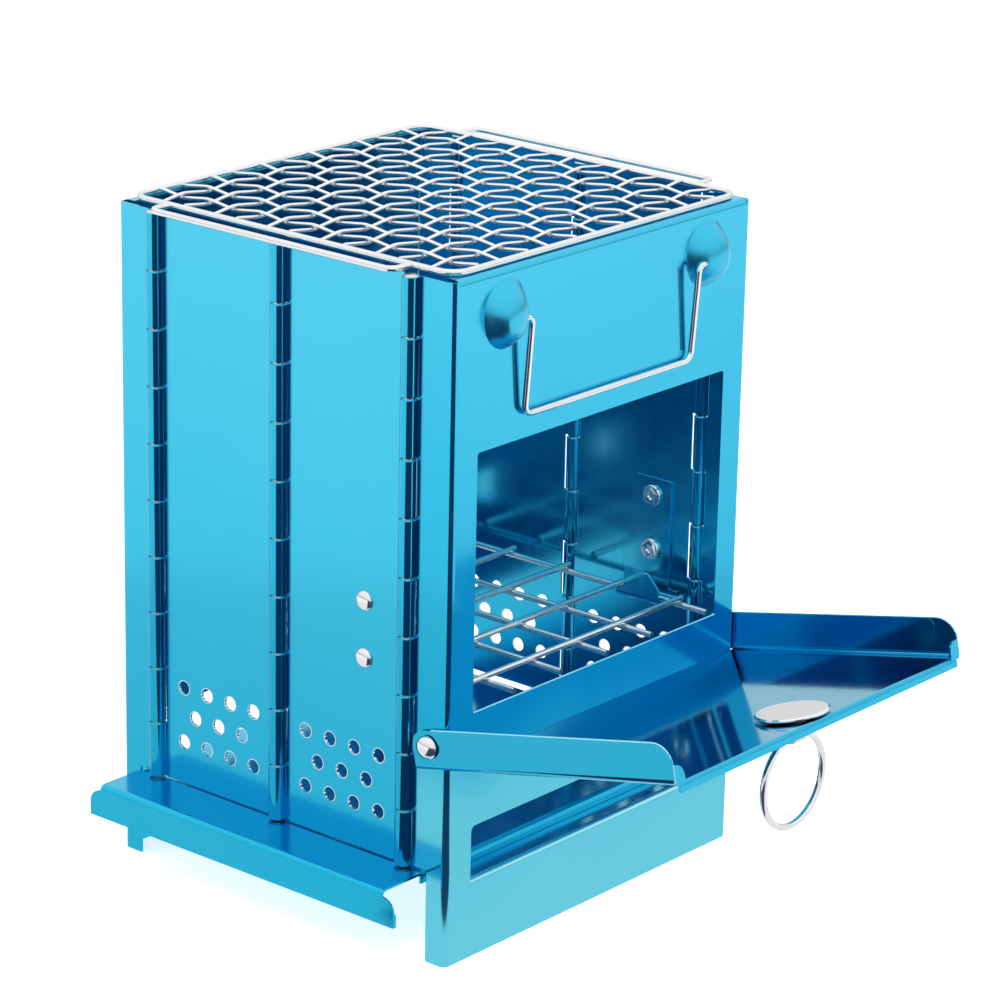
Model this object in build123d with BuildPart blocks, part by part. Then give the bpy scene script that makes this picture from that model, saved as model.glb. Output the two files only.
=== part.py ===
"""Folding camping wood stove of thin blue steel sheet, standing open.

Two pressed panels stand face to face. Each side wall is two leaves on three pin hinges, so
that the walls fold inwards once the loose pieces are out. The front panel carries a drop-down
fuel door and a wire bail, an ash tray slides in at the left, a welded fire grate rests in the
chamber and a woven cooking grate lies on the top rims.

Millimetres. +Z is up, the front face looks along -Y and the tray pulls out along -X.
The origin is on the ground, at the centre of the footprint of the four folded walls.
"""

import os
from math import atan2, cos, degrees, radians, sin

from build123d import *

os.makedirs("parts", exist_ok=True)

# Overall size of the open stove and the stock it is made of
height = 210.0
width = 137.0
depth = 134.0
sheet = 0.7
bend = 2.0
touch = 0.1

# Flats that repeated rounds are drawn with: barrels, rivets and holes, then wires, then lugs
round_sides = 8
wire_sides = 8
thin_wire_sides = 6
lug_sides = 16

# Pin hinges: axis behind the panel face and outboard of the sheet, barrels and their gaps
hinge_behind_face = 16.0
hinge_outboard = 0.8
hinge_bottom = 29.0
hinge_below_rim = 0.5
pin_d = 4.0
pin_play = 0.05
barrel_count = 10
barrel_gap = 0.3
barrel_clearance = 0.35
pin_head_d = 4.8
pin_head_height = 0.4

# Panels: top rim, fuel opening, tray slot with the shelf folded out of it, and legs
rim_reach = 5.0
opening_half_width = 57.6
opening_bottom = 78.0
opening_top = 157.5
opening_corner = 1.0
slot_half_width = 57.3
slot_top = 42.0
slot_corner = 2.0
shelf_top = 25.0
shelf_reach = 15.0
leg_flange = 7.6
leg_notch_above_hinge = 0.3

# Bail and the two pressed lugs that hold it
lug_x = 46.5
lug_below_rim = 15.0
lug_base_d = 15.5
lug_top_d = 9.0
lug_height = 6.2
lug_round = 1.8
bail_wire = 1.9
bail_half_width = 38.8
bail_end_x = 44.5
bail_drop = 30.0
bail_corner = 3.0
bail_end_corner = 2.4
bail_from_face = 3.6
bail_play = 0.2

# Vent holes low in every leaf
vent_d = 4.4
vent_z = 51.5
vent_pitch = 9.8
vent_row_pitch = 8.9
vent_columns = 4

# Brackets inside the front leaves, with their two rivets
bracket_sheet = 0.8
bracket_y = -34.5
bracket_width = 14.0
bracket_top = 113.3
grate_seat = 75.5
lip_x = 58.0
lip_y = -37.8
lip_top = 84.8
lip_clip = 4.5
rivet_y = -34.0
rivet_low = 89.5
rivet_high = 107.4
rivet_d = 3.2
rivet_head_d = 6.5
rivet_head_height = 1.6
rivet_tail_d = 7.0
rivet_tail_height = 1.0
rivet_dimple_d = 3.0
rivet_play = 0.05

# Tabs lanced out of the rear panel for the back of the fire grate
tab_width = 10.0
tab_reach = 11.0
tab_window = 9.0

# Fuel door, in its own frame: along the arm from the pivot and square to the plate
pivot_behind_face = 6.7
pivot_z = 68.9
door_tilt = 12.9
door_length = 91.6
door_plate_start = 5.45
door_plate_drop = 7.3
door_arm_rise = 5.0
door_arm_tail = 6.0
door_arm_gap = 0.4
door_arm_corner = 6.5
door_lip = 3.0
door_lip_bend = 1.2
door_tab_width = 4.0
door_tab_height = 5.3
door_bead_depth = 0.2
door_bead_width = 5.0
door_bead_start = 8.0
door_bead_end = 84.0
door_rivet_d = 3.2
door_rivet_head_d = 7.5
door_rivet_head_height = 2.2
door_rivet_tail_d = 6.0
door_rivet_tail_height = 0.9

# Ring pull: thin disc standing on a boss of the plate, the eye under it and the loose ring
pull_from_edge = 11.4
disc_d = 22.4
disc_height = 1.1
disc_round = 0.5
disc_boss_d = 9.0
disc_boss_height = 0.6
spigot_d = 5.0
eye_pad_d = 8.0
eye_pad_height = 1.0
eye_drop = 4.6
eye_d = 5.4
eye_width = 6.0
eye_bore = 3.4
eye_neck = 3.2
ring_d = 31.0
ring_wire = 2.2
ring_hang = 0.1

# Ash tray: plate, runners down to the shelves, wide ledge with a folded lip at the left
tray_clearance = 0.4
tray_side_gap = 0.9
tray_right = 66.5
tray_left = 87.0
ledge_half_width = 63.0
ledge_gap = 1.2
tray_lip_bottom = 17.8
tray_hem = 4.0

# Fire grate: bars along Y on the seats, bars along X welded on top
grate_wire = 2.0
grate_side_x = 60.6
grate_inner_x = 32.7
grate_middle_x = 10.9
grate_half_length = 62.0
grate_cross_first = -51.0
grate_cross_pitch = 23.0
grate_cross_count = 5
weld_sink = 0.1

# Cooking grate on the rims: frame, woven wires and two side handles
frame_wire = 2.0
frame_inside_walls = 3.0
frame_corner = 6.0
mesh_wire = 1.7
mesh_count = 11
mesh_gap = 0.1
handle_reach = 8.5
handle_from_corner = 16.0
handle_corner = 3.0

# Places that follow from the sizes above
standing = (Align.CENTER, Align.CENTER, Align.MIN)
half_width = width / 2
face = depth / 2
sheet_mid_x = half_width - sheet / 2
sheet_mid_y = face - sheet / 2
bend_mid = bend - sheet / 2
hinge_x = half_width + hinge_outboard
hinge_y = face - hinge_behind_face
hinge_top = height - hinge_below_rim
barrel_bore = pin_d + 2 * pin_play
barrel_d = barrel_bore + 2 * sheet
barrel_pitch = (hinge_top - hinge_bottom) / barrel_count
barrel_length = barrel_pitch - barrel_gap
edge_from_axis = barrel_d / 2 + barrel_clearance
panel_edge = hinge_y + edge_from_axis
leg_notch_top = hinge_bottom + leg_notch_above_hinge
lug_z = height - lug_below_rim
bail_bottom = lug_z - bail_drop
bail_y = -(face + bail_from_face)
pivot_y = -(face - pivot_behind_face)
arm_outer = half_width + door_arm_gap + sheet
pull_along = door_length - pull_from_edge
tray_top = hinge_bottom - tray_clearance
tray_half_width = face - leg_flange - tray_side_gap
tray_lip_foot = shelf_top + touch
grate_low_z = grate_seat + touch + grate_wire / 2
grate_high_z = grate_low_z + grate_wire - weld_sink
frame_z = height + touch / 2 + frame_wire / 2
frame_half_x = half_width - frame_inside_walls
frame_half_y = face - frame_inside_walls
handle_x = frame_half_x + handle_reach
handle_half_y = frame_half_y - handle_from_corner
door_slope = radians(door_tilt)
arm_out = (0, -cos(door_slope), sin(door_slope))
arm_up = (0, sin(door_slope), cos(door_slope))


def door_plane(x, along, rise, x_dir, z_dir):
    """A plane in the open door: origin at a place along and above the arm's line."""
    origin = (
        x,
        pivot_y - along * cos(door_slope) + rise * sin(door_slope),
        pivot_z + along * sin(door_slope) + rise * cos(door_slope),
    )
    return Plane(origin, x_dir=x_dir, z_dir=z_dir)


def door_side_view(x, along=0.0, rise=0.0):
    """Looking along +X at the door: local x runs out along the arm, local y up from it."""
    return door_plane(x, along, rise, arm_out, (-1, 0, 0))


def door_cross_section(along, rise=0.0):
    """Across the door at a distance from the pivot: local x is X, local y is up from the arm."""
    return door_plane(0, along, rise, (1, 0, 0), arm_out)


def door_level(along, rise):
    """In the door's plate, facing up from it."""
    return door_plane(0, along, rise, (1, 0, 0), arm_up)


def add_barrels(side, axis_y, edge_y, first):
    """Every second barrel of a hinge, counted from the top, with the tongues to its sheet."""
    tongue = abs(axis_y - edge_y)
    tongue_y = (axis_y + edge_y) / 2
    places = range(first, barrel_count, 2)
    lows = [hinge_top - barrel_gap / 2 - index * barrel_pitch - barrel_length for index in places]
    with BuildSketch(*[Plane((side * hinge_x, axis_y, low)) for low in lows]) as rings:
        RegularPolygon(barrel_d / 2, round_sides)
    extrude(rings.sketch, amount=barrel_length)
    with Locations(*[(side * sheet_mid_x, tongue_y, low) for low in lows]):
        Box(sheet, tongue, barrel_length, align=(Align.CENTER, Align.CENTER, Align.MIN))
    with BuildSketch(*[Plane((side * hinge_x, axis_y, low)) for low in lows]) as bores:
        RegularPolygon(barrel_bore / 2, round_sides, major_radius=False)
    extrude(bores.sketch, amount=barrel_length, mode=Mode.SUBTRACT)


def add_prism(places, diameter, height, mode=Mode.ADD):
    """Rivet heads and shanks: the flats' corners lie on the diameter, so it fits its hole."""
    with BuildSketch(*places) as base:
        RegularPolygon(diameter / 2, round_sides)
    extrude(base.sketch, amount=height, mode=mode)


def round_hole(diameter):
    """A hole's outline in a sketch: its flats clear the whole diameter."""
    RegularPolygon(diameter / 2, round_sides, major_radius=False)


def add_folded_edge(top, reach, half_length):
    """The face's sheet turned inwards at a height: a pressed bend and a flat flange."""
    with BuildSketch(Plane.YZ.offset(-half_length)) as fold:
        with BuildLine():
            FilletPolyline(
                (-sheet_mid_y, top - 2 * bend),
                (-sheet_mid_y, top - sheet / 2),
                (-face + reach, top - sheet / 2),
                radius=bend_mid,
            )
        trace(line_width=sheet)
    extrude(fold.sketch, amount=2 * half_length)


def crimped_run(half_length, pitch, rise, start):
    """Places along a woven wire and its height there: over one crossing wire, under the next."""
    first = -pitch * (mesh_count - 1) / 2
    crossings = [
        (first + index * pitch, rise if (index + start) % 2 else -rise)
        for index in range(mesh_count)
    ]
    return [(-half_length, 0)] + crossings + [(half_length, 0)]


# Pan that both panels are pressed from: face, side flanges, rim, slot, shelf, legs, barrels
with BuildPart() as pan:
    with BuildSketch():
        with BuildLine():
            FilletPolyline(
                (-sheet_mid_x, -panel_edge),
                (-sheet_mid_x, -sheet_mid_y),
                (sheet_mid_x, -sheet_mid_y),
                (sheet_mid_x, -panel_edge),
                radius=bend_mid,
            )
        trace(line_width=sheet)
    extrude(amount=hinge_top)
    with Locations((0, -face, height)):
        Box(width - 2 * bend, 2 * bend, 2 * bend, mode=Mode.SUBTRACT)
    add_folded_edge(height, rim_reach, half_width - bend)
    with BuildSketch(Plane.XZ.offset(face)):
        with Locations((0, (shelf_top - bend + slot_top) / 2)):
            slot = Rectangle(2 * slot_half_width, slot_top - shelf_top + bend)
        fillet(slot.vertices().group_by(Axis.Y)[-1], slot_corner)
    extrude(amount=-2 * sheet, mode=Mode.SUBTRACT)
    add_folded_edge(shelf_top, shelf_reach, slot_half_width)
    with Locations(*[(side * half_width, -panel_edge, 0) for side in (-1, 1)]):
        Box(
            4 * sheet,
            face - leg_flange - panel_edge,
            leg_notch_top,
            align=(Align.CENTER, Align.MAX, Align.MIN),
            mode=Mode.SUBTRACT,
        )
    add_barrels(-1, -hinge_y, -panel_edge, 0)
    add_barrels(1, -hinge_y, -panel_edge, 0)

# Front panel: fuel opening, bail lugs and the door's pivot holes
with BuildPart() as front_panel:
    add(pan.part)
    with BuildSketch(Plane.XZ.offset(face)):
        with Locations((0, (opening_bottom + opening_top) / 2)):
            RectangleRounded(
                2 * opening_half_width, opening_top - opening_bottom, opening_corner
            )
    extrude(amount=-2 * sheet, mode=Mode.SUBTRACT)
    lug_places = [
        Plane((side * lug_x, -face, lug_z), x_dir=(1, 0, 0), z_dir=(0, -1, 0)) for side in (-1, 1)
    ]
    lug_slope = degrees(atan2(lug_base_d - lug_top_d, 2 * lug_height))
    with BuildSketch(*lug_places) as lug_outside:
        RegularPolygon(lug_base_d / 2, lug_sides)
    extrude(lug_outside.sketch, amount=lug_height, taper=lug_slope)
    chamfer(front_panel.edges().group_by(Axis.Y)[0], lug_round)
    with BuildSketch(*[place.offset(-sheet) for place in lug_places]) as lug_inside:
        RegularPolygon(lug_base_d / 2 - sheet, lug_sides)
    extrude(lug_inside.sketch, amount=lug_height, taper=lug_slope, mode=Mode.SUBTRACT)
    bail_bore_length = 2 * (lug_x - sheet)
    with BuildSketch(Plane.YZ):
        with Locations((bail_y, lug_z)):
            round_hole(bail_wire + 2 * bail_play)
    extrude(amount=bail_bore_length / 2, both=True, mode=Mode.SUBTRACT)
    with BuildSketch(Plane.YZ):
        with Locations((pivot_y, pivot_z)):
            round_hole(door_rivet_d + 2 * rivet_play)
    extrude(amount=width, both=True, mode=Mode.SUBTRACT)
front_panel.part.label = "front_panel"
export_step(front_panel.part, "parts/front_panel.step")

# Rear panel: the same pan turned about, with two tabs lanced inwards for the fire grate
with BuildPart() as rear_panel:
    mirror(pan.part, about=Plane.XZ)
    with Locations(*[(side * grate_inner_x, face, grate_seat) for side in (-1, 1)]):
        Box(
            tab_width,
            4 * sheet,
            tab_window,
            align=(Align.CENTER, Align.CENTER, Align.MIN),
            mode=Mode.SUBTRACT,
        )
        Box(tab_width, tab_reach, sheet, align=(Align.CENTER, Align.MAX, Align.MAX))
rear_panel.part.label = "rear_panel"
export_step(rear_panel.part, "parts/rear_panel.step")

# Side leaves: sheet between two hinges, barrels at both edges, vent holes low down
leaf_inner_edge = edge_from_axis
leaf_outer_edge = hinge_y - edge_from_axis
leaf_middle = hinge_y / 2
for side, hand in ((-1, "left"), (1, "right")):
    for end, place in ((-1, "front"), (1, "rear")):
        with BuildPart() as leaf:
            with Locations((side * sheet_mid_x, end * leaf_middle, (hinge_bottom + hinge_top) / 2)):
                Box(sheet, leaf_outer_edge - leaf_inner_edge, hinge_top - hinge_bottom)
            add_barrels(side, 0, end * leaf_inner_edge, 0 if end > 0 else 1)
            add_barrels(side, end * hinge_y, end * leaf_outer_edge, 1)
            with BuildSketch(Plane.YZ.offset(side * sheet_mid_x)):
                with Locations((end * leaf_middle, vent_z)):
                    with GridLocations(vent_pitch, 2 * vent_row_pitch, vent_columns, 2):
                        round_hole(vent_d)
                    with GridLocations(vent_pitch, 0, vent_columns - 1, 1):
                        round_hole(vent_d)
                if end < 0:
                    with Locations((rivet_y, rivet_low), (rivet_y, rivet_high)):
                        round_hole(rivet_d + 2 * rivet_play)
            extrude(amount=sheet, both=True, mode=Mode.SUBTRACT)
        leaf.part.label = f"{hand}_{place}_leaf"
        export_step(leaf.part, f"parts/{hand}_{place}_leaf.step")

# Hinge pins, each with a peened head on the top barrel
pin_top = hinge_top - barrel_gap / 2
for side, hand in ((-1, "left"), (1, "right")):
    for end, place in ((-1, "front"), (0, "centre"), (1, "rear")):
        with BuildPart() as pin:
            foot = Plane((side * hinge_x, end * hinge_y, hinge_bottom))
            with Locations(foot):
                Cylinder(pin_d / 2, pin_top - hinge_bottom, align=standing)
            add_prism([foot.offset(pin_top - hinge_bottom)], pin_head_d, pin_head_height)
            chamfer(pin.edges().group_by(Axis.Z)[-1], pin_head_height / 2)
        pin.part.label = f"{hand}_{place}_pin"
        export_step(pin.part, f"parts/{hand}_{place}_pin.step")

# Grate brackets: a folded strip riveted inside each front leaf, with a seat and a lip
bracket_wall = half_width - sheet
bracket_mid_x = bracket_wall - bracket_sheet / 2
bracket_mid_z = grate_seat - bracket_sheet / 2
bracket_front = lip_y - bracket_width / 2
bracket_rear = bracket_y + bracket_width / 2
plate_front = bracket_y - bracket_width / 2
lip_rear = lip_y + bracket_width / 2
above_bend = grate_seat + bend
for side, hand in ((-1, "left"), (1, "right")):
    with BuildPart() as bracket:
        with BuildSketch(Plane.XZ.offset(-bracket_rear)):
            with BuildLine():
                FilletPolyline(
                    (side * bracket_mid_x, bracket_top),
                    (side * bracket_mid_x, bracket_mid_z),
                    (side * lip_x, bracket_mid_z),
                    (side * lip_x, lip_top),
                    radius=bend_mid,
                )
            trace(line_width=bracket_sheet)
        extrude(amount=bracket_rear - bracket_front)
        with Locations((side * bracket_mid_x, bracket_front, above_bend)):
            Box(
                4 * bracket_sheet,
                plate_front - bracket_front,
                2 * bracket_top,
                align=(Align.CENTER, Align.MIN, Align.MIN),
                mode=Mode.SUBTRACT,
            )
        with Locations((side * lip_x, bracket_rear, above_bend)):
            Box(
                4 * bracket_sheet,
                bracket_rear - lip_rear,
                2 * bracket_top,
                align=(Align.CENTER, Align.MAX, Align.MIN),
                mode=Mode.SUBTRACT,
            )
        lip_corner = (
            bracket.edges()
            .filter_by(Axis.X)
            .filter_by_position(Axis.Z, lip_top - touch, lip_top + touch)
            .sort_by(Axis.Y)[0]
        )
        chamfer(lip_corner, lip_clip)
        with BuildSketch(Plane.YZ.offset(side * bracket_mid_x)):
            with Locations((rivet_y, rivet_low), (rivet_y, rivet_high)):
                round_hole(rivet_d + 2 * rivet_play)
        extrude(amount=bracket_sheet, both=True, mode=Mode.SUBTRACT)
    bracket.part.label = f"{hand}_grate_bracket"
    export_step(bracket.part, f"parts/{hand}_grate_bracket.step")

    with BuildPart() as rivets:
        outward = (side, 0, 0)
        heads = [Plane((side * half_width, rivet_y, z), z_dir=outward) for z in (rivet_low, rivet_high)]
        stack = sheet + bracket_sheet
        tails = [head.offset(-stack - rivet_tail_height) for head in heads]
        add_prism(heads, rivet_head_d, rivet_head_height)
        chamfer(rivets.edges().group_by(Axis.X)[-1 if side > 0 else 0], rivet_head_height / 2)
        add_prism([head.offset(-stack) for head in heads], rivet_d, stack)
        add_prism(tails, rivet_tail_d, rivet_tail_height)
        add_prism(tails, rivet_dimple_d, rivet_tail_height / 2, mode=Mode.SUBTRACT)
    rivets.part.label = f"{hand}_bracket_rivets"
    export_step(rivets.part, f"parts/{hand}_bracket_rivets.step")

# Fuel door: plate and arms folded from one sheet, outer edge turned down, tabs at its corners
arm_inner = arm_outer - sheet
channel_mid_x = arm_outer - sheet / 2
plate_mid = sheet / 2 - door_plate_drop
plate_top = sheet - door_plate_drop
flat_half = arm_outer - bend
lip_turn = door_length - door_lip_bend
bead_length = door_bead_end - door_bead_start
with BuildPart() as door:
    with BuildSketch(door_cross_section(-door_arm_tail)):
        with BuildLine():
            FilletPolyline(
                (-channel_mid_x, door_arm_rise),
                (-channel_mid_x, plate_mid),
                (channel_mid_x, plate_mid),
                (channel_mid_x, door_arm_rise),
                radius=bend_mid,
            )
        trace(line_width=sheet)
    extrude(amount=door_arm_tail + door_length)
    with BuildSketch(door_side_view(arm_outer)):
        with Locations(((door_length - door_arm_tail) / 2, (door_arm_rise - door_plate_drop) / 2)):
            outline = Rectangle(door_length + door_arm_tail, door_arm_rise + door_plate_drop)
        fillet(outline.vertices().group_by(Axis.X)[0].sort_by(Axis.Y)[-1], door_arm_rise)
        fillet(outline.vertices().group_by(Axis.X)[0].sort_by(Axis.Y)[0], door_arm_tail)
        fillet(outline.vertices().group_by(Axis.X)[-1].sort_by(Axis.Y)[-1], door_arm_corner)
    extrude(amount=2 * arm_outer, mode=Mode.INTERSECT)
    with BuildSketch(door_side_view(arm_inner, door_plate_start)):
        Rectangle(2 * door_length, 4 * door_plate_drop, align=(Align.MAX, Align.CENTER))
    extrude(amount=2 * arm_inner, mode=Mode.SUBTRACT)
    with BuildSketch(door_side_view(flat_half, lip_turn, plate_mid)):
        Rectangle(4 * bend, 4 * sheet, align=(Align.MIN, Align.CENTER))
    extrude(amount=2 * flat_half, mode=Mode.SUBTRACT)
    with BuildSketch(door_side_view(flat_half)):
        with BuildLine():
            FilletPolyline(
                (lip_turn - bend, plate_mid),
                (door_length - sheet / 2, plate_mid),
                (door_length - sheet / 2, plate_top - door_lip),
                radius=door_lip_bend - sheet / 2,
            )
        trace(line_width=sheet)
    extrude(amount=2 * flat_half)
    for side, edge in ((-1, Align.MIN), (1, Align.MAX)):
        with BuildSketch(door_cross_section(door_length - sheet, plate_top - sheet)):
            with Locations((side * arm_inner, 0)):
                tab = Rectangle(
                    door_tab_width, door_tab_height + sheet, align=(edge, Align.MIN)
                )
            tab_corners = tab.vertices().group_by(Axis.Y)[-1].sort_by(Axis.X)
            fillet(tab_corners[-1] if side < 0 else tab_corners[0], door_tab_width - touch)
        extrude(amount=sheet)
        with BuildSketch(door_side_view(side * (arm_inner - door_bead_depth / 2), door_bead_start)):
            with Locations((bead_length / 2, door_arm_rise - door_bead_width / 2)):
                SlotOverall(bead_length, door_bead_width)
        extrude(amount=door_bead_depth / 2, both=True)
    with BuildSketch(Plane.YZ):
        with Locations((pivot_y, pivot_z)):
            round_hole(door_rivet_d + 2 * rivet_play)
    extrude(amount=width, both=True, mode=Mode.SUBTRACT)
    with BuildSketch(door_level(pull_along, plate_mid)):
        round_hole(spigot_d + 2 * rivet_play)
    extrude(amount=sheet, both=True, mode=Mode.SUBTRACT)
door.part.label = "door"
export_step(door.part, "parts/door.step")

# Door rivets: domed head outside the arm, shank through arm and flange, tail inside
for side, hand in ((-1, "left"), (1, "right")):
    with BuildPart() as rivet:
        head = Plane((side * (arm_outer + touch), pivot_y, pivot_z), z_dir=(side, 0, 0))
        shank = arm_outer + touch - half_width + sheet
        add_prism([head], door_rivet_head_d, door_rivet_head_height)
        chamfer(rivet.edges().group_by(Axis.X)[-1 if side > 0 else 0], door_rivet_head_height / 2)
        with Locations(head.offset(-shank)):
            Cylinder(door_rivet_d / 2, shank, align=standing)
        add_prism([head.offset(-shank - door_rivet_tail_height)], door_rivet_tail_d, door_rivet_tail_height)
    rivet.part.label = f"{hand}_door_rivet"
    export_step(rivet.part, f"parts/{hand}_door_rivet.step")

# Ring pull: the disc on its boss, the eye it is riveted to and the loose ring
plate_upper = door_level(pull_along, plate_top)
plate_lower = door_level(pull_along, -door_plate_drop)
with BuildPart() as disc:
    with Locations(plate_upper.offset(disc_boss_height)):
        Cylinder(disc_d / 2, disc_height, align=standing)
    chamfer(disc.edges().sort_by(Axis(plate_upper.origin, arm_up))[-1], disc_round)
    add_prism([plate_upper], disc_boss_d, disc_boss_height)
    add_prism([plate_lower], spigot_d, sheet)
disc.part.label = "pull_disc"
export_step(disc.part, "parts/pull_disc.step")

eye_centre = door_level(pull_along, -door_plate_drop - eye_drop)
with BuildPart() as eye:
    add_prism([plate_lower.offset(-eye_pad_height)], eye_pad_d, eye_pad_height)
    with Locations(eye_centre):
        Box(eye_width, eye_neck, eye_drop - eye_pad_height, align=standing)
    barrel_end = Plane(eye_centre.origin, z_dir=(1, 0, 0)).offset(-eye_width / 2)
    add_prism([barrel_end], eye_d, eye_width)
    add_prism([barrel_end], eye_bore, eye_width, mode=Mode.SUBTRACT)
eye.part.label = "pull_eye"
export_step(eye.part, "parts/pull_eye.step")

ring_radius = (ring_d - ring_wire) / 2
ring_centre = eye_centre.origin - Vector(0, 0, ring_hang + ring_radius)
with BuildPart() as ring:
    with BuildSketch(Plane.YZ):
        with Locations((ring_centre.Y, ring_centre.Z - ring_radius)):
            RegularPolygon(ring_wire / 2, thin_wire_sides)
    revolve(axis=Axis(ring_centre, (0, 1, 0)))
ring.part.label = "pull_ring"
export_step(ring.part, "parts/pull_ring.step")

# Bail: one bent wire whose ends turn outwards into the lugs
with BuildPart() as bail:
    with BuildLine(Plane((0, bail_y, 0), x_dir=(1, 0, 0), z_dir=(0, -1, 0))) as bail_path:
        FilletPolyline(
            (-bail_end_x, lug_z),
            (-bail_half_width, lug_z),
            (-bail_half_width, bail_bottom),
            (bail_half_width, bail_bottom),
            (bail_half_width, lug_z),
            (bail_end_x, lug_z),
            radius=(bail_end_corner, bail_corner, bail_corner, bail_end_corner),
        )
    with BuildSketch(Plane((-bail_end_x, bail_y, lug_z), z_dir=(1, 0, 0))):
        RegularPolygon(bail_wire / 2, wire_sides)
    sweep(path=bail_path.wires()[0])
bail.part.label = "bail_handle"
export_step(bail.part, "parts/bail_handle.step")

# Ash tray: plate folded down at the left ledge and the right end, with a runner at each side
tray_mid_z = tray_top - sheet / 2
runner_mid_y = tray_half_width - sheet / 2
ledge_right = half_width + ledge_gap
with BuildPart() as tray:
    with BuildSketch(Plane.XZ.offset(-tray_half_width + bend)):
        with BuildLine():
            FilletPolyline(
                (-tray_left + sheet / 2, tray_lip_bottom),
                (-tray_left + sheet / 2, tray_mid_z),
                (tray_right - sheet / 2, tray_mid_z),
                (tray_right - sheet / 2, tray_lip_foot),
                radius=bend_mid,
            )
        trace(line_width=sheet)
    extrude(amount=2 * (tray_half_width - bend))
    with BuildSketch(Plane.XZ.offset(-tray_half_width)):
        with BuildLine():
            FilletPolyline(
                (-tray_left + sheet / 2, tray_lip_bottom),
                (-tray_left + sheet / 2, tray_mid_z),
                (-ledge_right, tray_mid_z),
                radius=bend_mid,
            )
        trace(line_width=sheet)
    extrude(amount=2 * tray_half_width)
    with BuildSketch(Plane.YZ.offset(-tray_left)):
        with Locations((0, (tray_lip_bottom + tray_top - bend) / 2)):
            tray_lip = Rectangle(2 * ledge_half_width, tray_top - bend - tray_lip_bottom)
        fillet(tray_lip.vertices().group_by(Axis.Y)[-1], ledge_half_width - tray_half_width)
    extrude(amount=sheet)
    with BuildSketch(Plane.YZ.offset(-ledge_right)):
        with BuildLine():
            FilletPolyline(
                (-runner_mid_y, tray_lip_foot),
                (-runner_mid_y, tray_mid_z),
                (runner_mid_y, tray_mid_z),
                (runner_mid_y, tray_lip_foot),
                radius=bend_mid,
            )
        trace(line_width=sheet)
    extrude(amount=tray_right + ledge_right - bend)
    with Locations((-tray_left + sheet, 0, tray_lip_bottom)):
        Box(sheet, 2 * ledge_half_width, tray_hem, align=(Align.MIN, Align.CENTER, Align.MIN))
tray.part.label = "ash_tray"
export_step(tray.part, "parts/ash_tray.step")

# Fire grate: long bars on the seats and cross bars welded on top of them
long_places = [
    (side * x, grate_low_z)
    for x in (grate_side_x, grate_inner_x, grate_middle_x)
    for side in (-1, 1)
]
with BuildPart() as long_bars:
    with BuildSketch(Plane.XZ):
        with Locations(*long_places):
            RegularPolygon(grate_wire / 2, wire_sides)
    extrude(amount=grate_half_length, both=True)
long_bars.part.label = "fire_grate_long_bars"
export_step(long_bars.part, "parts/fire_grate_long_bars.step")

cross_places = [
    (grate_cross_first + index * grate_cross_pitch, grate_high_z)
    for index in range(grate_cross_count)
]
with BuildPart() as cross_bars:
    with BuildSketch(Plane.YZ):
        with Locations(*cross_places):
            RegularPolygon(grate_wire / 2, wire_sides)
    extrude(amount=grate_side_x + grate_wire / 2, both=True)
cross_bars.part.label = "fire_grate_cross_bars"
export_step(cross_bars.part, "parts/fire_grate_cross_bars.step")

# Cooking grate: round frame wire, crimped wires woven over and under and welded to it, handles
with BuildPart() as frame:
    with BuildLine(Plane.XY.offset(frame_z)) as frame_path:
        with BuildSketch(Plane.XY.offset(frame_z), mode=Mode.PRIVATE) as frame_outline:
            RectangleRounded(2 * frame_half_x, 2 * frame_half_y, frame_corner)
        add(frame_outline.wires()[0])
    with BuildSketch(Plane((0, -frame_half_y, frame_z), z_dir=(1, 0, 0))):
        RegularPolygon(frame_wire / 2, wire_sides)
    sweep(path=frame_path.wires()[0])
frame.part.label = "cooking_grate_frame"
export_step(frame.part, "parts/cooking_grate_frame.step")

mesh_pitch_x = 2 * frame_half_x / (mesh_count + 1)
mesh_pitch_y = 2 * frame_half_y / (mesh_count + 1)
mesh_rise = (mesh_wire + mesh_gap) / 2
weld_x = frame_half_x - frame_wire / 2 + weld_sink
weld_y = frame_half_y - frame_wire / 2 + weld_sink
with BuildPart() as warp:
    for index in range(mesh_count):
        x = (index + 1) * mesh_pitch_x - frame_half_x
        run = crimped_run(weld_y, mesh_pitch_y, mesh_rise, index % 2)
        with BuildLine() as warp_path:
            Polyline(*[(x, along, frame_z + rise) for along, rise in run])
        with BuildSketch(Plane((x, run[0][0], frame_z), x_dir=(0, 0, 1), z_dir=(0, 1, 0))):
            RegularPolygon(mesh_wire / 2, thin_wire_sides)
        sweep(path=warp_path.wires()[0], transition=Transition.RIGHT)
warp.part.label = "cooking_grate_warp"
export_step(warp.part, "parts/cooking_grate_warp.step")

with BuildPart() as weft:
    for index in range(mesh_count):
        y = (index + 1) * mesh_pitch_y - frame_half_y
        run = crimped_run(weld_x, mesh_pitch_x, -mesh_rise, index % 2)
        with BuildLine() as weft_path:
            Polyline(*[(along, y, frame_z + rise) for along, rise in run])
        with BuildSketch(Plane((run[0][0], y, frame_z), x_dir=(0, 0, 1), z_dir=(1, 0, 0))):
            RegularPolygon(mesh_wire / 2, thin_wire_sides)
        sweep(path=weft_path.wires()[0], transition=Transition.RIGHT)
weft.part.label = "cooking_grate_weft"
export_step(weft.part, "parts/cooking_grate_weft.step")

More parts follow.
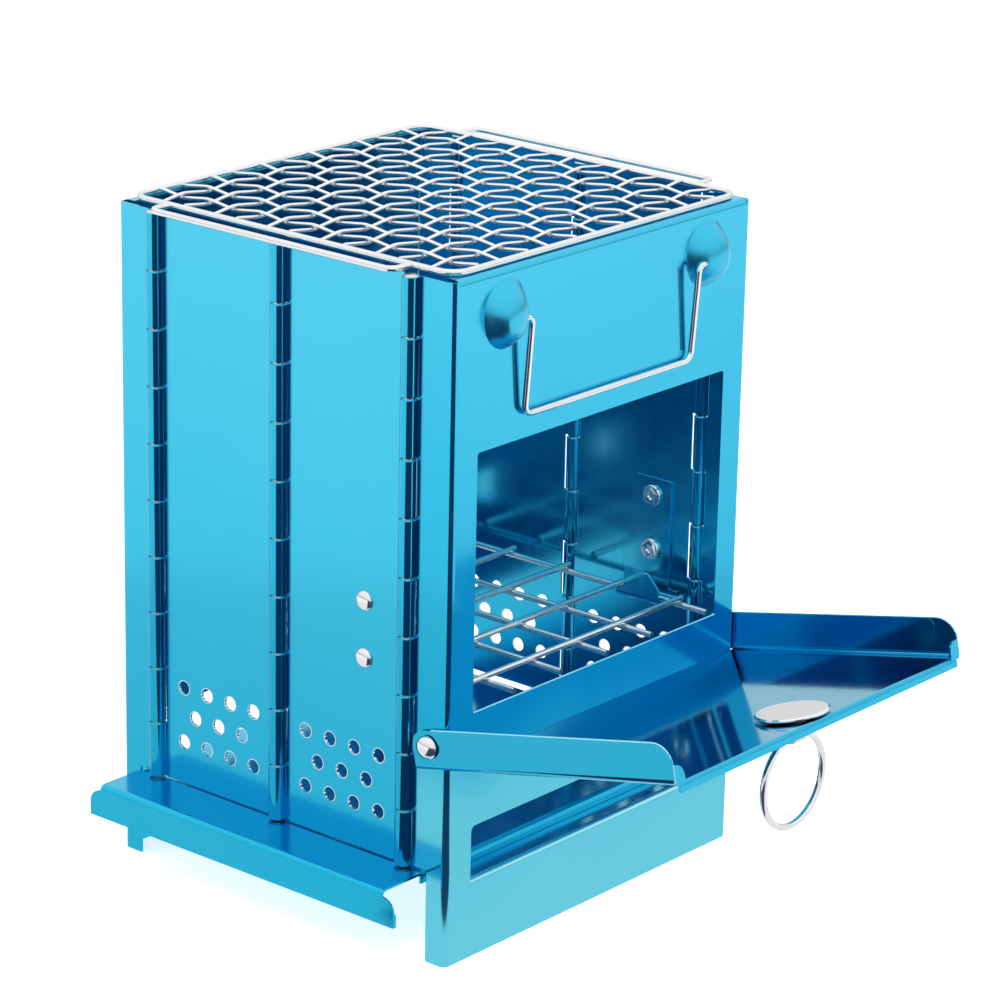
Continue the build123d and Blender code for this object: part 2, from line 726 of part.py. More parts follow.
handle_root_x = frame_half_x + frame_wire / 2 - weld_sink
for side, hand in ((-1, "left"), (1, "right")):
    with BuildPart() as handle:
        with BuildLine(Plane.XY.offset(frame_z)) as handle_path:
            FilletPolyline(
                (side * handle_root_x, -handle_half_y),
                (side * handle_x, -handle_half_y),
                (side * handle_x, handle_half_y),
                (side * handle_root_x, handle_half_y),
                radius=handle_corner,
            )
        start = Plane((side * handle_root_x, -handle_half_y, frame_z), z_dir=(side, 0, 0))
        with BuildSketch(start):
            RegularPolygon(frame_wire / 2, wire_sides)
        sweep(path=handle_path.wires()[0])
    handle.part.label = f"cooking_grate_{hand}_handle"
    export_step(handle.part, f"parts/cooking_grate_{hand}_handle.step")
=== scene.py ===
import math

import bmesh
import bpy
import numpy as np
from mathutils import Matrix, Vector


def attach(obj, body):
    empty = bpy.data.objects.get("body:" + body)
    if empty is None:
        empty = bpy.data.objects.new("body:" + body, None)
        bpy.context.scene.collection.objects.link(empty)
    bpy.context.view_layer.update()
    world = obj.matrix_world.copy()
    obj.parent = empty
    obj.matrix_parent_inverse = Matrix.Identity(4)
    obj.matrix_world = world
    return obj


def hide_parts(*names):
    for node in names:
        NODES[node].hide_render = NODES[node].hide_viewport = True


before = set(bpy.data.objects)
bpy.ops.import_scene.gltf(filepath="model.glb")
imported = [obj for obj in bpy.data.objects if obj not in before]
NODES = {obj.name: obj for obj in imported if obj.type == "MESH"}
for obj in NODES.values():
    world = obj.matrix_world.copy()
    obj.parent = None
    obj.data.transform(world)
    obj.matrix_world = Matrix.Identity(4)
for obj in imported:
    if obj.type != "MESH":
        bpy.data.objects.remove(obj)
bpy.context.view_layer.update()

# Looks of a folding camping wood stove: clear blue lacquer over bright sheet, polished rivets
# and drawn wire. The stove's sizes are in millimetres and become metres when a mesh is filled.
# The studio's sizes are in metres.
MM = 0.001
MERGE_METRES = 2e-6

# Walls, with the fuel opening and the slot under it
HEIGHT = 210.0
HALF_WIDTH = 68.5
FACE = 67.0
SHEET = 0.7
OPENING_HALF_WIDTH = 57.6
OPENING_BOTTOM = 78.0
OPENING_EDGE_R = 0.3
SLOT_HALF_WIDTH = 57.3
SLOT_BOTTOM = 24.15
SLOT_BEND_IN = 0.85
SLOT_EDGE_R = 0.7

# Hinges
HINGE_X = 69.3
HINGE_Y = 51.0
HINGE_BOTTOM = 29.0
HINGE_TOP = 209.5
BARREL_COUNT = 10
BARREL_GAP = 0.5
BARREL_D = 5.5
BARREL_EASE = 0.25
PIN_D = 4.0
PIN_PLAY = 0.05
PIN_HEAD_D = 4.8
PIN_HEAD_RISE = 0.4

# Vent holes: rows of four, three and four in each leaf
VENT_D = 4.4
VENT_Z = 51.5
VENT_PITCH = 9.8
VENT_ROW_PITCH = 8.9
VENT_COLUMNS = 4
VENT_RIM = 0.24
VENT_RIM_PROUD = 0.03
VENT_RIM_FALL = 0.02

# Rivets: each head and tail is (diameter, height)
RIVET_SHANK_D = 3.2
BRACKET_RIVET_Y = -34.0
BRACKET_RIVET_Z = (89.5, 107.4)
BRACKET_RIVET = {"head": (6.5, 1.6), "grip": 1.5, "tail": (7.0, 1.0), "dimple_d": 3.0}
DOOR_RIVET_X = 70.0
DOOR_RIVET = {"head": (7.5, 2.2), "grip": 2.2, "tail": (6.0, 0.9), "dimple_d": 2.4}

# Door, measured along its arms from the pivot and square up from them
DOOR_PIVOT = (0.0, -60.3, 68.9)
DOOR_TILT = math.radians(12.9)
DOOR_ALONG = np.array([0.0, -math.cos(DOOR_TILT), math.sin(DOOR_TILT)])
DOOR_UP = np.array([0.0, math.sin(DOOR_TILT), math.cos(DOOR_TILT)])
DOOR_LENGTH = 91.6
DOOR_ARM_OUTER = 69.6
DOOR_RISE = 5.0
DOOR_CORNER = 6.5
DOOR_PLATE_TOP = -6.6
DOOR_EDGE_START = 2.0
DOOR_EDGE_INSET = 0.3

# Disc and ring of the door's pull
PULL_ALONG = 80.2
DISC_R = 11.2
DISC_TOP = 1.7
DISC_FOOT_R = 4.5
DISC_FOOT = 0.6
RING_CENTRE = (0.0, -141.13, 60.7)
RING_R = 14.4
RING_WIRE_R = 1.1

# Bail and its lugs
LUG_X = 46.5
LUG_Z = 195.0
LUG_HEIGHT = 6.2
LUG_FOOT = 8.8
LUG_DRAWN = 3.4
LUG_SHIFT = 1.6
LUG_SEAT = 0.02
LUG_SINK = 0.3
BAIL_Y = -70.6
BAIL_LEAN = math.radians(4.3)
BAIL_LENGTH = 30.0
BAIL_END_X = 44.5
BAIL_ARM_X = 38.8
BAIL_END_BEND = 2.4
BAIL_BEND = 3.0
BAIL_WIRE_R = 0.95

# Cooking grate
GRATE_Z = 211.05
FRAME_HALF_X = 65.5
FRAME_HALF_Y = 64.0
FRAME_CORNER = 6.0
GRATE_WIRE_R = 1.0
MESH_COUNT = 11
MESH_RISE = 0.62
MESH_STEEP = 0.93
MESH_WIRE_R = 0.6
WARP_HALF = 63.1
WEFT_HALF = 64.6
HANDLE_INNER_X = 66.4
HANDLE_OUTER_X = 74.0
HANDLE_HALF_Y = 48.0
HANDLE_CORNER = 3.0

# Fire grate
LONG_BAR_X = (60.6, 32.7, 10.9)
LONG_BAR_HALF = 62.0
LONG_BAR_Z = 76.6
CROSS_BAR_COUNT = 5
CROSS_BAR_FIRST_Y = -51.0
CROSS_BAR_PITCH = 23.0
CROSS_BAR_HALF = 61.6
CROSS_BAR_Z = 78.5

# Where the frame's plain barrels and lugs make way for new pieces
TRIM_PLAY = 0.05
LUG_TRIM_R = 8.0

# Angles in degrees over which an edge shows
SHEET_SHARP = 20.0
PIECE_SHARP = 38.0
EYE_SHARP = 50.0
WIRE_SHARP = 60.0


# Shapes: each is a grid of points worked out at once, then handed to the mesh


def grid_faces(rows, columns, closed_rows, closed_columns):
    """Four-cornered faces of a grid: point (row, column), the next column, both a row on."""
    last_row = rows if closed_rows else rows - 1
    last_column = columns if closed_columns else columns - 1
    row, column = np.meshgrid(np.arange(last_row), np.arange(last_column), indexing="ij")
    next_row = (row + 1) % rows
    next_column = (column + 1) % columns
    corners = [(row, column), (row, next_column), (next_row, next_column), (next_row, column)]
    return np.stack([r * columns + c for r, c in corners], axis=-1).reshape(-1, 4)


def fill_mesh(name, grids, sharp=PIECE_SHARP):
    """Mesh of several grids, each (points, closed_rows, closed_columns, capped), poles merged."""
    places, faces, start = [], [], 0
    for points, closed_rows, closed_columns, capped in grids:
        rows, columns = points.shape[:2]
        places.append(points.reshape(-1, 3) * MM)
        faces += (grid_faces(rows, columns, closed_rows, closed_columns) + start).tolist()
        if capped:
            faces.append(list(range(start + columns - 1, start - 1, -1)))
            faces.append(list(range(start + (rows - 1) * columns, start + rows * columns)))
        start += rows * columns
    mesh = bpy.data.meshes.new(name)
    mesh.from_pydata(np.concatenate(places).tolist(), [], faces)
    return finish_mesh(name, mesh, sharp)


def finish_mesh(name, mesh, sharp):
    """Doubles merged, smooth but for edges sharper than an angle, and an object to carry it."""
    work = bmesh.new()
    work.from_mesh(mesh)
    bmesh.ops.remove_doubles(work, verts=work.verts, dist=MERGE_METRES)
    bmesh.ops.dissolve_degenerate(work, edges=work.edges, dist=1e-6)
    bmesh.ops.dissolve_limit(work, angle_limit=math.radians(0.3), verts=work.verts, edges=work.edges)
    work.to_mesh(mesh)
    work.free()
    mesh.shade_smooth()
    mesh.set_sharp_from_angle(angle=math.radians(sharp))
    piece = bpy.data.objects.new(name, mesh)
    bpy.context.scene.collection.objects.link(piece)
    return piece


def wire_grid(path, normal, radius, sides=16, closed=False):
    """Ring at each place of a path in a plane: centre + radius (cos a side + sin a normal), where
    side is square to the path in that plane."""
    path = np.asarray(path, float)
    normal = np.asarray(normal, float)
    if closed:
        along = np.roll(path, -1, axis=0) - np.roll(path, 1, axis=0)
    else:
        along = np.gradient(path, axis=0)
    along = along / np.linalg.norm(along, axis=1, keepdims=True)
    side = np.cross(normal, along)[:, None, :]
    angle = np.linspace(0, 2 * math.pi, sides, endpoint=False)[None, :, None]
    rings = path[:, None, :] + radius * (np.cos(angle) * side + np.sin(angle) * normal)
    return rings, closed, True, not closed


def straight_wire(start, end, radius, normal=(0, 0, 1)):
    """Round bar between two places: one ring at each of them."""
    return wire_grid([start, end], normal, radius)


def turned_grid(profile, origin, axis, sides=32):
    """A profile of (radius, height) turned about an axis: each place is origin + height axis +
    radius (cos a first + sin a second), with first and second square to the axis."""
    axis = np.asarray(axis, float)
    helper = np.array([0.0, 0.0, 1.0]) if abs(axis[2]) < 0.9 else np.array([1.0, 0.0, 0.0])
    first = np.cross(helper, axis)
    first /= np.linalg.norm(first)
    second = np.cross(axis, first)
    profile = np.asarray(profile, float)
    angle = np.linspace(0, 2 * math.pi, sides, endpoint=False)[None, :, None]
    spoke = np.cos(angle) * first + np.sin(angle) * second
    rings = np.asarray(origin) + profile[:, None, 1:2] * axis + profile[:, None, 0:1] * spoke
    return rings, False, True, False


def dome(radius, height, steps=8):
    """Quarter of an ellipse from the rim up to the pole, as (radius, height) pairs."""
    angle = np.linspace(0, math.pi / 2, steps)
    return np.stack([radius * np.cos(angle), height * np.sin(angle)], axis=1)


def rounded_route(corners, radii, closed=False, steps=8):
    """Corners joined by straight runs, each corner cut by a round arc of its radius, whose centre
    lies radius / sin(half the corner's angle) from the corner."""
    corners = np.asarray(corners, float)
    count = len(corners)
    route = [] if closed else [corners[:1]]
    inner = range(count) if closed else range(1, count - 1)
    for index, radius in zip(inner, radii):
        corner = corners[index]
        back = corners[index - 1] - corner
        on = corners[(index + 1) % count] - corner
        back /= np.linalg.norm(back)
        on /= np.linalg.norm(on)
        half = math.acos(np.clip(back @ on, -1, 1)) / 2
        middle = (back + on) / np.linalg.norm(back + on)
        centre = corner + middle * radius / math.sin(half)
        sweep = np.linspace(-1, 1, steps)[:, None] * (math.pi / 2 - half)
        across = (on - back) / np.linalg.norm(on - back)
        route.append(centre + radius * (np.sin(sweep) * across - np.cos(sweep) * middle))
    if not closed:
        route.append(corners[-1:])
    return np.concatenate(route)


def place(piece, body, material, nodes=()):
    """Gives a piece its finish and lets it ride, in place of its nodes."""
    piece.data.materials.clear()
    piece.data.materials.append(material)
    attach(piece, body)
    if nodes:
        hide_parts(*nodes)


def door_point(x, along, rise):
    """A place in the open door: along its arms from the pivot and square up from them."""
    y = DOOR_PIVOT[1] - along * math.cos(DOOR_TILT) + rise * math.sin(DOOR_TILT)
    z = DOOR_PIVOT[2] + along * math.sin(DOOR_TILT) + rise * math.cos(DOOR_TILT)
    return np.array([x, y, z])


# Finishes


def new_material(name):
    """A material with a Principled shader, its nodes and its links."""
    material = bpy.data.materials.new(name)
    material.use_nodes = True
    return material, material.node_tree.nodes, material.node_tree.links


def brushed_noise(nodes, links, scale, stretch):
    """Noise on the piece's own coordinates, drawn out along one axis like brushing."""
    place_in = nodes.new("ShaderNodeTexCoord")
    draw_out = nodes.new("ShaderNodeMapping")
    draw_out.inputs["Scale"].default_value = stretch
    noise = nodes.new("ShaderNodeTexNoise")
    noise.inputs["Scale"].default_value = scale
    noise.inputs["Detail"].default_value = 3.0
    links.new(place_in.outputs["Object"], draw_out.inputs["Vector"])
    links.new(draw_out.outputs["Vector"], noise.inputs["Vector"])
    return noise


def colour_stops(ramp, stops):
    """Sets a ramp to the given (position, colour) stops, in rising order."""
    for index, (position, colour) in enumerate(stops):
        if index < 2:
            stop = ramp.elements[index]
            stop.position = position
        else:
            stop = ramp.elements.new(position)
        stop.color = (*colour, 1.0)


def blue_lacquer(name, stops, gloss_range):
    """Clear blue lacquer on bright sheet: a coloured mirror, slightly uneven in thickness, with a faint
    drawn grain. Its colour changes with height on the stove through the given stops, which paint
    reflection and shade on the walls."""
    material, nodes, links = new_material(name)
    shader = nodes["Principled BSDF"]
    shader.inputs["Metallic"].default_value = 1.0
    # Height on the stove, which sets the colour: painted reflection and shade, darker low and paler
    # high on the walls.
    height = nodes.new("ShaderNodeMapRange")
    height.inputs["From Max"].default_value = HEIGHT * MM
    height.inputs["To Max"].default_value = 0.9
    axes = nodes.new("ShaderNodeSeparateXYZ")
    cloud = brushed_noise(nodes, links, 14.0, (1.0, 1.0, 0.6))
    links.new(nodes["Texture Coordinate"].outputs["Object"], axes.inputs["Vector"])
    links.new(axes.outputs["Z"], height.inputs["Value"])
    # Random unevenness plus the painted shade by height.
    uneven = nodes.new("ShaderNodeMath")
    uneven.operation = "MULTIPLY_ADD"
    uneven.inputs[1].default_value = 0.2
    links.new(cloud.outputs["Fac"], uneven.inputs[0])
    links.new(height.outputs["Result"], uneven.inputs[2])
    depth_and_height_shade = nodes.new("ShaderNodeValToRGB")
    colour_stops(depth_and_height_shade.color_ramp, stops)
    links.new(uneven.outputs["Value"], depth_and_height_shade.inputs["Fac"])
    links.new(depth_and_height_shade.outputs["Color"], shader.inputs["Base Color"])
    shader.inputs["Coat Weight"].default_value = 0.3
    shader.inputs["Coat Roughness"].default_value = 0.08
    grain = brushed_noise(nodes, links, 90.0, (6.0, 6.0, 0.35))
    spread = nodes.new("ShaderNodeMapRange")
    spread.inputs["To Min"].default_value, spread.inputs["To Max"].default_value = gloss_range
    links.new(grain.outputs["Fac"], spread.inputs["Value"])
    links.new(spread.outputs["Result"], shader.inputs["Roughness"])
    bump = nodes.new("ShaderNodeBump")
    bump.inputs["Strength"].default_value = 0.03
    bump.inputs["Distance"].default_value = 0.0002
    links.new(grain.outputs["Fac"], bump.inputs["Height"])
    links.new(bump.outputs["Normal"], shader.inputs["Normal"])
    return material


def bright_steel(name, colour, roughness):
    """Bare bright steel of one colour, its gloss a little uneven."""
    material, nodes, links = new_material(name)
    shader = nodes["Principled BSDF"]
    shader.inputs["Metallic"].default_value = 1.0
    shader.inputs["Base Color"].default_value = (*colour, 1.0)
    drawn = brushed_noise(nodes, links, 160.0, (1.0, 1.0, 1.0))
    spread = nodes.new("ShaderNodeMapRange")
    spread.inputs["To Min"].default_value = 0.7 * roughness
    spread.inputs["To Max"].default_value = 1.3 * roughness
    links.new(drawn.outputs["Fac"], spread.inputs["Value"])
    links.new(spread.outputs["Result"], shader.inputs["Roughness"])
    return material


# Colour stops by height. On the walls the deeper blue low and paler blue high is painted reflection of
# the floor, not a change in the lacquer.
WALL_SHADE_STOPS = ((0.1, (0.0, 0.47, 0.74)), (1.0, (0.07, 0.59, 0.82)))
# Front and lugs: the pale blue low down is painted reflection of the floor, and the deep blue near 0.42
# is painted reflection of the door.
FRONT_REFLECTION_STOPS = (
    (0.12, (0.13, 0.66, 0.84)), (0.32, (0.1, 0.62, 0.8)), (0.42, (0.0, 0.44, 0.72)),
    (1.0, (0.05, 0.56, 0.82)),
)
DOOR_STOPS = ((0.1, (0.0, 0.42, 0.68)), (1.0, (0.05, 0.54, 0.78)))
# Barrels: a darker blue than the walls, painted shade.
BARREL_SHADE_STOPS = ((0.1, (0.0, 0.4, 0.66)), (1.0, (0.03, 0.5, 0.74)))
BLUE = blue_lacquer("blue_lacquer", WALL_SHADE_STOPS, (0.13, 0.22))
BLUE_FRONT = blue_lacquer("blue_lacquer_front", FRONT_REFLECTION_STOPS, (0.1, 0.2))
BLUE_DOOR = blue_lacquer("blue_lacquer_door", DOOR_STOPS, (0.05, 0.11))
BLUE_LUG = blue_lacquer("blue_lacquer_pressed", FRONT_REFLECTION_STOPS, (0.24, 0.36))
BLUE_BARREL_SHADED = blue_lacquer("blue_lacquer_painted_dark", BARREL_SHADE_STOPS, (0.08, 0.16))
PIN = bright_steel("pin_steel", (0.86, 0.74, 0.66), 0.22)
CHROME = bright_steel("polished_steel", (0.86, 0.87, 0.89), 0.13)
# Pale cyan for the edge lines: a painted highlight.
PAINTED_EDGE_HIGHLIGHT = bright_steel("painted_edge_highlight", (0.42, 0.9, 1.0), 0.3)
WIRE = bright_steel("bright_wire", (0.86, 0.87, 0.89), 0.16)
MESH_WIRE = bright_steel("bright_mesh_wire", (0.93, 0.93, 0.94), 0.3)


# Sheet pieces: smooth copies of the frame's own meshes


def kept_triangles(mesh, region):
    """A new mesh without the triangles whose three corners all lie in one and the same region."""
    places = np.empty(3 * len(mesh.vertices), np.float32)
    mesh.vertices.foreach_get("co", places)
    places = places.reshape(-1, 3)
    corners = np.empty(len(mesh.loops), np.int32)
    mesh.loops.foreach_get("vertex_index", corners)
    corners = corners.reshape(-1, 3)
    where = region(places / MM)[corners]
    kept = corners[(where[:, 0] == 0) | (where != where[:, :1]).any(axis=1)]
    trimmed = bpy.data.meshes.new(mesh.name + "_trimmed")
    trimmed.from_pydata(places.tolist(), [], kept.tolist())
    return trimmed


def rolled_or_pressed(places):
    """Number of the plain hinge barrel or plain bail lug that each place lies in, else 0: finer
    pieces stand for both."""
    x, y, z = places.T
    rows = (-HINGE_Y, 0, HINGE_Y)
    centres = np.array([(side * HINGE_X, axis_y) for side in (-1, 1) for axis_y in rows])
    to_axis = np.hypot(x[:, None] - centres[:, 0], y[:, None] - centres[:, 1])
    in_barrel = to_axis.min(axis=1) < BARREL_D / 2 + 2 * TRIM_PLAY
    barrel = np.where(in_barrel, 1 + to_axis.argmin(axis=1), 0)
    before_panel = y < SHEET - FACE + TRIM_PLAY
    in_lug = (np.hypot(np.abs(x) - LUG_X, z - LUG_Z) < LUG_TRIM_R) & before_panel
    return np.where(in_lug, 10 + (x > 0), barrel)


def cut_round_corner(mesh, centre_along, centre_rise, radius, step=15.0):
    """Rounds the outer corners of the door's arms: cut by planes that touch the round, one every
    step of turn in degrees, each cut closed again."""
    work = bmesh.new()
    work.from_mesh(mesh)
    bmesh.ops.remove_doubles(work, verts=work.verts, dist=MERGE_METRES)
    for turn in np.radians(np.arange(step / 2, 90, step)):
        normal = math.cos(turn) * DOOR_ALONG + math.sin(turn) * DOOR_UP
        touch = door_point(0, centre_along, centre_rise) + radius * normal
        geometry = work.verts[:] + work.edges[:] + work.faces[:]
        cut = bmesh.ops.bisect_plane(
            work, geom=geometry, dist=1e-6, plane_co=touch * MM, plane_no=normal, clear_outer=True)
        rim = [part for part in cut["geom_cut"] if isinstance(part, bmesh.types.BMEdge)]
        bmesh.ops.edgeloop_fill(work, edges=rim)
    bmesh.ops.recalc_face_normals(work, faces=work.faces)
    work.to_mesh(mesh)
    work.free()


def smooth_sheet(node, body, finish):
    """The frame's mesh of one sheet piece, merged, its cut edges broken by a small bevel."""
    mesh = kept_triangles(NODES[node].data, rolled_or_pressed)
    if node == "door":
        cut_round_corner(mesh, DOOR_LENGTH - DOOR_CORNER, DOOR_RISE - DOOR_CORNER, DOOR_CORNER)
    piece = finish_mesh(node + "_sheet", mesh, SHEET_SHARP)
    broken_edge = piece.modifiers.new("broken_edge", "BEVEL")
    broken_edge.width = SHEET / 5 * MM
    broken_edge.segments = 2
    broken_edge.limit_method = "ANGLE"
    broken_edge.angle_limit = math.radians(50)
    flat_faces_first = piece.modifiers.new("flat_faces_first", "WEIGHTED_NORMAL")
    flat_faces_first.weight = 100
    flat_faces_first.keep_sharp = True
    place(piece, body, finish, (node,))


for hand in ("left", "right"):
    for end in ("front", "rear"):
        smooth_sheet(f"{hand}_{end}_leaf", f"{hand}_{end}_wall", BLUE)
    smooth_sheet(f"{hand}_grate_bracket", f"{hand}_front_wall", BLUE)
smooth_sheet("front_panel", "front_wall", BLUE_FRONT)
smooth_sheet("rear_panel", "rear_wall", BLUE)
smooth_sheet("door", "fuel_door", BLUE_DOOR)
smooth_sheet("ash_tray", "tray", BLUE)


# Painted highlights: pale lines along edges and bends, their colour standing in for the light they
# catch


def edge_across(half_width, y, z, radius):
    """Painted highlight: a pale line across the front panel, as under the fuel opening and under the
    slot.
    """
    return straight_wire((-half_width, y, z), (half_width, y, z), radius)


def arm_edge(side):
    """Painted highlight: a pale line along the top of one of the door's arms and round its outer
    corner.
    """
    x = side * (DOOR_ARM_OUTER - SHEET / 2)
    end = DOOR_LENGTH - DOOR_EDGE_INSET
    corners = [(DOOR_EDGE_START, DOOR_RISE), (end, DOOR_RISE), (end, DOOR_PLATE_TOP)]
    route = rounded_route([door_point(x, along, rise) for along, rise in corners], (DOOR_CORNER,))
    return wire_grid(route, (1, 0, 0), SHEET / 2, 12)


front_edge_highlights = [
    edge_across(OPENING_HALF_WIDTH, -FACE, OPENING_BOTTOM, OPENING_EDGE_R),
    edge_across(SLOT_HALF_WIDTH, SLOT_BEND_IN - FACE, SLOT_BOTTOM, SLOT_EDGE_R),
]
place(fill_mesh("front_edge_highlights", front_edge_highlights, WIRE_SHARP), "front_wall", PAINTED_EDGE_HIGHLIGHT)
door_edge_highlights = [arm_edge(side) for side in (-1, 1)]
place(fill_mesh("door_edge_highlights", door_edge_highlights, WIRE_SHARP), "fuel_door", PAINTED_EDGE_HIGHLIGHT)


# Hinges: round barrels over the sheet's rolled tongues, and the pins in them


def barrel_grids(side, axis_y, first):
    """Every second barrel of a hinge: a tube with slightly rounded ends."""
    pitch = (HINGE_TOP - HINGE_BOTTOM) / BARREL_COUNT
    outer, inner, ease = BARREL_D / 2, PIN_D / 2 + PIN_PLAY, BARREL_EASE
    grids = []
    for index in range(first, BARREL_COUNT, 2):
        high = HINGE_TOP - BARREL_GAP / 2 - index * pitch
        low = high - pitch + BARREL_GAP
        profile = [
            (inner, low), (outer - ease, low), (outer, low + ease),
            (outer, high - ease), (outer - ease, high), (inner, high), (inner, low),
        ]
        grids.append(turned_grid(profile, (side * HINGE_X, axis_y, 0), (0, 0, 1), 28))
    return grids


def pin_grids(side, axis_y):
    """Pin with a peened head standing on the top barrel."""
    low, high = HINGE_BOTTOM, HINGE_TOP - BARREL_GAP / 2
    profile = [(0, low), (PIN_D / 2, low), (PIN_D / 2, high), (PIN_HEAD_D / 2, high)]
    head = dome(PIN_HEAD_D / 2, PIN_HEAD_RISE, 6) + np.array([0, high])
    return [turned_grid(np.concatenate([profile, head]), (side * HINGE_X, axis_y, 0), (0, 0, 1), 24)]


for side, hand in ((-1, "left"), (1, "right")):
    front_leaf, rear_leaf = f"{hand}_front_wall", f"{hand}_rear_wall"
    hinges = (
        ("rear_wall", "rear_panel", HINGE_Y, 0),
        (rear_leaf, "rear_leaf_rear", HINGE_Y, 1),
        (rear_leaf, "rear_leaf_front", 0, 0),
        (front_leaf, "front_leaf_rear", 0, 1),
        (front_leaf, "front_leaf_front", -HINGE_Y, 1),
        ("front_wall", "front_panel", -HINGE_Y, 0),
    )
    for body, carrier, axis_y, first in hinges:
        barrels = fill_mesh(f"{hand}_{carrier}_barrels", barrel_grids(side, axis_y, first))
        place(barrels, body, BLUE_BARREL_SHADED)
    pins = (("front", -HINGE_Y, "front_wall"), ("centre", 0, rear_leaf), ("rear", HINGE_Y, "rear_wall"))
    for where, axis_y, body in pins:
        pin = fill_mesh(f"{hand}_{where}_hinge_pin", pin_grids(side, axis_y))
        place(pin, body, PIN, (f"{hand}_{where}_pin",))


# Rims of the vent holes: a narrow ring of bare edge that rounds each hole


def vent_rims(side, end):
    """A ring turned about the middle of each hole of a leaf, a hair proud of both faces."""
    hole, wide = VENT_D / 2, VENT_D / 2 + VENT_RIM
    half = SHEET / 2 + VENT_RIM_PROUD
    fallen = half - VENT_RIM_FALL
    profile = [(hole, -half), (wide, -fallen), (wide, fallen), (hole, half), (hole, -half)]
    middle = end * HINGE_Y / 2
    grids = []
    for row, columns in ((-1, VENT_COLUMNS), (0, VENT_COLUMNS - 1), (1, VENT_COLUMNS)):
        for column in range(columns):
            y = middle + (column - (columns - 1) / 2) * VENT_PITCH
            origin = (side * (HALF_WIDTH - SHEET / 2), y, VENT_Z + row * VENT_ROW_PITCH)
            grids.append(turned_grid(profile, origin, (side, 0, 0), 24))
    return grids


for side, hand in ((-1, "left"), (1, "right")):
    for end, where in ((-1, "front"), (1, "rear")):
        rims = fill_mesh(f"{hand}_{where}_vent_rims", vent_rims(side, end))
        place(rims, f"{hand}_{where}_wall", CHROME)


# Rivets


def rivet_grids(origin, axis, head, grip, tail, dimple_d):
    """Domed head outwards from the origin, shank inwards by the grip, then a dished tail."""
    head_r, tail_r, dimple_r, shank_r = head[0] / 2, tail[0] / 2, dimple_d / 2, RIVET_SHANK_D / 2
    head_profile = np.concatenate([np.array([(0, 0), (head_r, 0)]), dome(head_r, head[1], 9)])
    low = -grip - tail[1]
    dish = low + tail[1] / 2
    tail_profile = [
        (0, dish), (0.7 * dimple_r, dish), (dimple_r, low + 0.1),
        (dimple_r + 0.2, low), (tail_r - 0.3, low), (tail_r, low + 0.3), (tail_r, -grip),
        (shank_r, -grip), (shank_r, 0), (0, 0),
    ]
    return [turned_grid(profile, origin, axis, 36) for profile in (head_profile, tail_profile)]


for side, hand in ((-1, "left"), (1, "right")):
    outwards = (side, 0, 0)
    grids = []
    for z in BRACKET_RIVET_Z:
        grids += rivet_grids((side * HALF_WIDTH, BRACKET_RIVET_Y, z), outwards, **BRACKET_RIVET)
    rivets = fill_mesh(f"{hand}_bracket_rivet_pair", grids)
    place(rivets, f"{hand}_front_wall", CHROME, (f"{hand}_bracket_rivets",))
    pivot = (side * DOOR_RIVET_X, DOOR_PIVOT[1], DOOR_PIVOT[2])
    rivet = fill_mesh(f"{hand}_door_pivot_rivet", rivet_grids(pivot, outwards, **DOOR_RIVET))
    place(rivet, "front_wall", CHROME, (f"{hand}_door_rivet",))


# Bail and its lugs


def lug_grids(side):
    """Pressed lug, drawn out upwards like a drop: at a turn a its foot lies LUG_FOOT + LUG_DRAWN
    ((1 + sin a) / 2)^3 from the middle. A share u of that way out it stands LUG_HEIGHT
    (1 - u^3)^1.3 high, its middle LUG_SHIFT (1 - u) further out on the panel. A second sheet lies
    a sheet's thickness inside."""
    share = np.linspace(0, 1, 25)[:, None]
    turn = np.linspace(0, 2 * math.pi, 48, endpoint=False)[None, :]
    foot = LUG_FOOT + LUG_DRAWN * ((1 + np.sin(turn)) / 2) ** 3
    rise = LUG_HEIGHT * (1 - share ** 3) ** 1.3 + 0 * turn
    middle = side * (LUG_X + LUG_SHIFT * (1 - share))

    def lay(reach, height):
        return np.stack(
            [middle + reach * np.cos(turn), -FACE - height, LUG_Z + reach * np.sin(turn)], axis=-1)

    outside = lay(share * foot, rise + LUG_SEAT)
    inside = lay(share * (foot - SHEET), rise * (1 - SHEET / LUG_HEIGHT) - LUG_SINK)
    return [(np.concatenate([outside, inside[::-1]])[:, ::-1], False, True, False)]


for side, hand in ((-1, "left"), (1, "right")):
    place(fill_mesh(f"{hand}_bail_lug", lug_grids(side)), "front_wall", BLUE_LUG)

bail_low_y = BAIL_Y + BAIL_LENGTH * math.sin(BAIL_LEAN)
bail_low_z = LUG_Z - BAIL_LENGTH * math.cos(BAIL_LEAN)
bail_corners = [
    (-BAIL_END_X, BAIL_Y, LUG_Z), (-BAIL_ARM_X, BAIL_Y, LUG_Z), (-BAIL_ARM_X, bail_low_y, bail_low_z),
    (BAIL_ARM_X, bail_low_y, bail_low_z), (BAIL_ARM_X, BAIL_Y, LUG_Z), (BAIL_END_X, BAIL_Y, LUG_Z),
]
bail_route = rounded_route(bail_corners, (BAIL_END_BEND, BAIL_BEND, BAIL_BEND, BAIL_END_BEND))
bail_normal = (0, math.cos(BAIL_LEAN), math.sin(BAIL_LEAN))
bail = fill_mesh("bail_wire", [wire_grid(bail_route, bail_normal, BAIL_WIRE_R, 20)], WIRE_SHARP)
place(bail, "bail", WIRE, ("bail_handle",))


# Ring pull: the ring, the disc on the door and the eye under it

